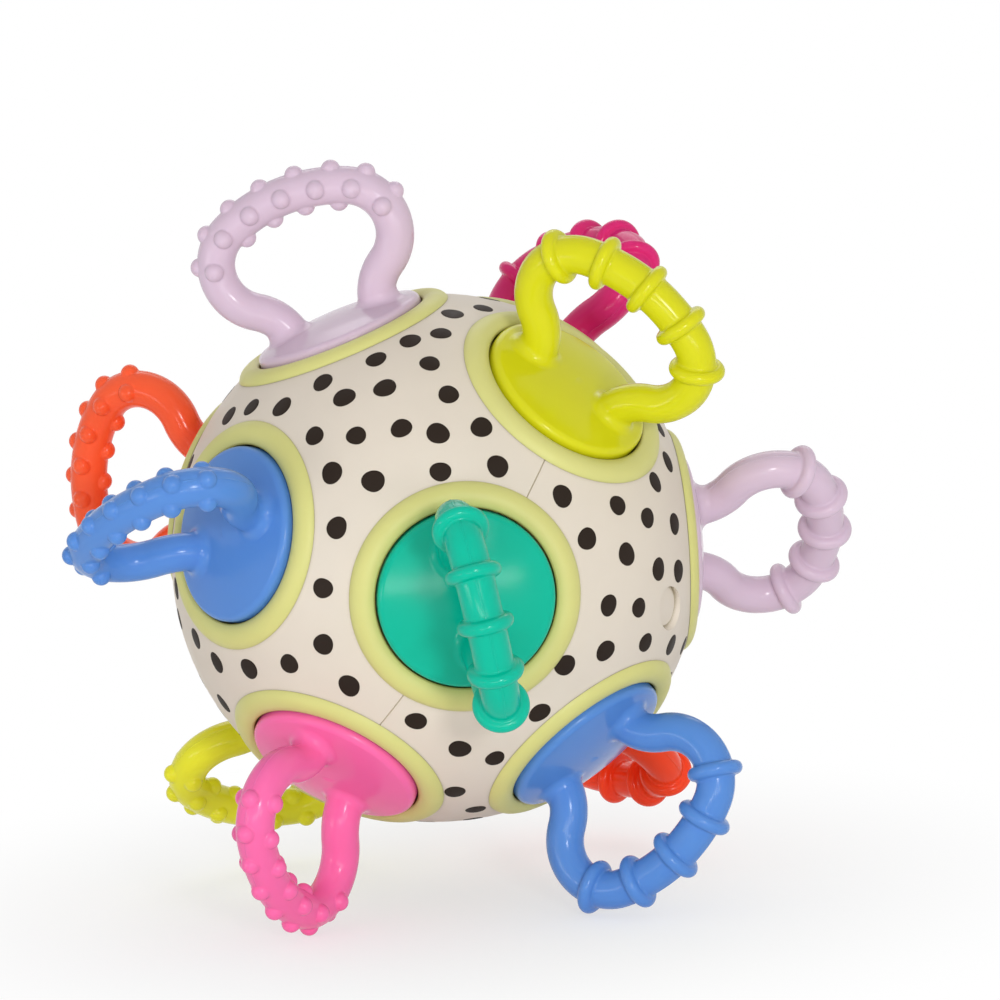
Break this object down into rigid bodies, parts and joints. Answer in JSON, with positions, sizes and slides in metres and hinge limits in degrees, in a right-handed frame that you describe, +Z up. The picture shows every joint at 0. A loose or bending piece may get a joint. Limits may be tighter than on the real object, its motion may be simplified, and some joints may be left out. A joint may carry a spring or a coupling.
{
  "type": "sensory ball",
  "caption": "Hollow spotted ball with round ports, each holding a looped ribbed or bumpy handle that turns freely in a soft ring, for a baby to grasp and turn",
  "frame": {"origin": "the centre of the hollow ball, where the axes of all the ports meet; it is also the centre of mass", "axes": "+Z is up, with the ball resting on its lower handles; -Y runs out of the green ribbed port that faces the camera in the picture and +X out of the lilac ribbed port; Y is the longest extent and Z the shortest"},
  "size_m": [0.1214, 0.1276, 0.1135],
  "materials": {
    "cream_shell": "moulded plastic, satin to matt, cream with round dark spots",
    "lime_ring": "soft satin elastomer, pale lime",
    "white_retainer": "plain moulded plastic, natural white",
    "screw_steel": "zinc plated steel",
    "cream_plug": "moulded plastic, satin to matt, cream",
    "green_handle": "glossy moulded plastic, slightly translucent, green",
    "yellow_handle": "glossy moulded plastic, slightly translucent, yellow",
    "pink_handle": "glossy moulded plastic, slightly translucent, pink",
    "lilac_handle": "glossy moulded plastic, slightly translucent, lilac",
    "red_handle": "glossy moulded plastic, slightly translucent, red",
    "blue_handle": "glossy moulded plastic, slightly translucent, blue"
  },
  "bodies": {
    "ball": {"bump_half_shell": "cream_shell", "rib_half_shell": "cream_shell", "shell_screws": "screw_steel", "screw_plugs": "cream_plug", "green_ribbed_port_ring": "lime_ring", "yellow_ribbed_port_ring": "lime_ring", "pink_ribbed_port_ring": "lime_ring", "green_bumpy_port_ring": "lime_ring", "yellow_bumpy_port_ring": "lime_ring", "pink_bumpy_port_ring": "lime_ring", "lilac_bumpy_port_ring": "lime_ring", "red_bumpy_port_ring": "lime_ring", "blue_bumpy_port_ring": "lime_ring", "lilac_ribbed_port_ring": "lime_ring", "red_ribbed_port_ring": "lime_ring", "blue_ribbed_port_ring": "lime_ring"},
    "green_ribbed": {"green_ribbed_handle": "green_handle", "green_ribbed_retainer": "white_retainer", "green_ribbed_retainer_screw": "screw_steel"},
    "yellow_ribbed": {"yellow_ribbed_handle": "yellow_handle", "yellow_ribbed_retainer": "white_retainer", "yellow_ribbed_retainer_screw": "screw_steel"},
    "pink_ribbed": {"pink_ribbed_handle": "pink_handle", "pink_ribbed_retainer": "white_retainer", "pink_ribbed_retainer_screw": "screw_steel"},
    "green_bumpy": {"green_bumpy_handle": "green_handle", "green_bumpy_retainer": "white_retainer", "green_bumpy_retainer_screw": "screw_steel"},
    "yellow_bumpy": {"yellow_bumpy_handle": "yellow_handle", "yellow_bumpy_retainer": "white_retainer", "yellow_bumpy_retainer_screw": "screw_steel"},
    "pink_bumpy": {"pink_bumpy_handle": "pink_handle", "pink_bumpy_retainer": "white_retainer", "pink_bumpy_retainer_screw": "screw_steel"},
    "lilac_bumpy": {"lilac_bumpy_handle": "lilac_handle", "lilac_bumpy_retainer": "white_retainer", "lilac_bumpy_retainer_screw": "screw_steel"},
    "red_bumpy": {"red_bumpy_handle": "red_handle", "red_bumpy_retainer": "white_retainer", "red_bumpy_retainer_screw": "screw_steel"},
    "blue_bumpy": {"blue_bumpy_handle": "blue_handle", "blue_bumpy_retainer": "white_retainer", "blue_bumpy_retainer_screw": "screw_steel"},
    "lilac_ribbed": {"lilac_ribbed_handle": "lilac_handle", "lilac_ribbed_retainer": "white_retainer", "lilac_ribbed_retainer_screw": "screw_steel"},
    "red_ribbed": {"red_ribbed_handle": "red_handle", "red_ribbed_retainer": "white_retainer", "red_ribbed_retainer_screw": "screw_steel"},
    "blue_ribbed": {"blue_ribbed_handle": "blue_handle", "blue_ribbed_retainer": "white_retainer", "blue_ribbed_retainer_screw": "screw_steel"}
  },
  "joints": [
    {"name": "green_ribbed_turn", "type": "hinge", "parent": "ball", "child": "green_ribbed", "pos_m": [0, 0, 0], "axis": [0, -1, 0], "continuous": true},
    {"name": "yellow_ribbed_turn", "type": "hinge", "parent": "ball", "child": "yellow_ribbed", "pos_m": [0, 0, 0], "axis": [0.5, -0.5, 0.7071], "continuous": true},
    {"name": "pink_ribbed_turn", "type": "hinge", "parent": "ball", "child": "pink_ribbed", "pos_m": [0, 0, 0], "axis": [0.5, 0.5, 0.7071], "continuous": true},
    {"name": "green_bumpy_turn", "type": "hinge", "parent": "ball", "child": "green_bumpy", "pos_m": [0, 0, 0], "axis": [0, 1, 0], "continuous": true},
    {"name": "yellow_bumpy_turn", "type": "hinge", "parent": "ball", "child": "yellow_bumpy", "pos_m": [0, 0, 0], "axis": [-0.5, 0.5, -0.7071], "continuous": true},
    {"name": "pink_bumpy_turn", "type": "hinge", "parent": "ball", "child": "pink_bumpy", "pos_m": [0, 0, 0], "axis": [-0.5, -0.5, -0.7071], "continuous": true},
    {"name": "lilac_bumpy_turn", "type": "hinge", "parent": "ball", "child": "lilac_bumpy", "pos_m": [0, 0, 0], "axis": [-0.3333, 0, 0.9428], "continuous": true},
    {"name": "red_bumpy_turn", "type": "hinge", "parent": "ball", "child": "red_bumpy", "pos_m": [0, 0, 0], "axis": [-0.8333, 0.5, 0.2357], "continuous": true},
    {"name": "blue_bumpy_turn", "type": "hinge", "parent": "ball", "child": "blue_bumpy", "pos_m": [0, 0, 0], "axis": [-0.8333, -0.5, 0.2357], "continuous": true},
    {"name": "lilac_ribbed_turn", "type": "hinge", "parent": "ball", "child": "lilac_ribbed", "pos_m": [0, 0, 0], "axis": [1, 0, 0], "continuous": true},
    {"name": "red_ribbed_turn", "type": "hinge", "parent": "ball", "child": "red_ribbed", "pos_m": [0, 0, 0], "axis": [0.5, 0.5, -0.7071], "continuous": true},
    {"name": "blue_ribbed_turn", "type": "hinge", "parent": "ball", "child": "blue_ribbed", "pos_m": [0, 0, 0], "axis": [0.5, -0.5, -0.7071], "continuous": true}
  ]
}
